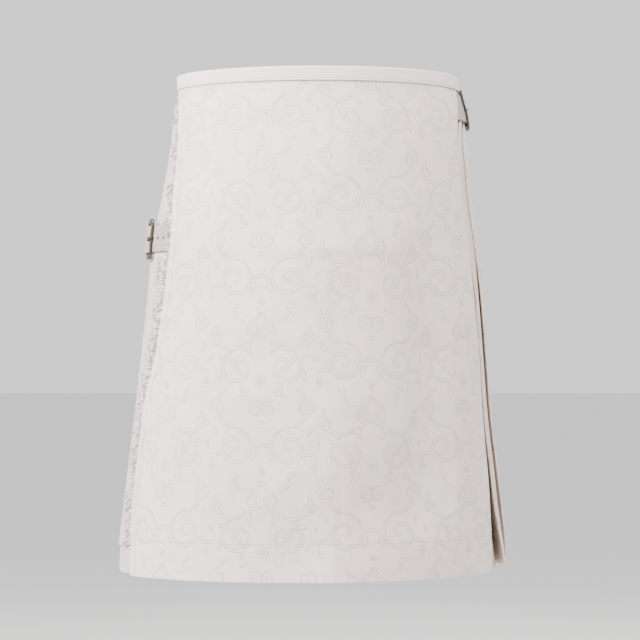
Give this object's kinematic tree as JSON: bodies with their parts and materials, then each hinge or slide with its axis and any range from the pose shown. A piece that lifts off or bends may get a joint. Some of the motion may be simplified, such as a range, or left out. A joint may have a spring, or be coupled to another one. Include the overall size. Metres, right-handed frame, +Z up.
{
  "type": "kilt",
  "caption": "Wrapped kilt with a plain front apron, fringed side edge, knife pleats round the back, waistband, and leather straps with buckles.",
  "frame": {"origin": "centre of the waist ring, at half the height of the waistband", "axes": "+Z up, +X towards the viewer's right, and the front apron faces -Y"},
  "size_m": [0.4829, 0.4016, 0.6075],
  "materials": {
    "cloth": "ivory jacquard with a tone-on-tone scroll pattern and a soft sheen",
    "band": "plain ivory cloth",
    "fringe": "ivory threads drawn out of the cloth",
    "strap": "smooth off-white leather with stitched edges",
    "pewter": "dark pewter, worn lighter on its edges"
  },
  "bodies": {
    "root": {"waistband": "band", "over_apron": "cloth", "under_apron": "cloth", "pleats_right": "cloth", "pleats_back": "cloth", "pleats_left": "cloth", "fringe": "fringe", "strap_waist_left": "strap", "buckle_waist_left": "pewter", "prong_waist_left": "pewter", "tab_waist_left": "strap", "strap_waist_right": "strap", "buckle_waist_right": "pewter", "prong_waist_right": "pewter", "tab_waist_right": "strap", "strap_hip_left": "strap", "buckle_hip_left": "pewter", "prong_hip_left": "pewter", "tab_hip_left": "strap"}
  },
  "joints": []
}
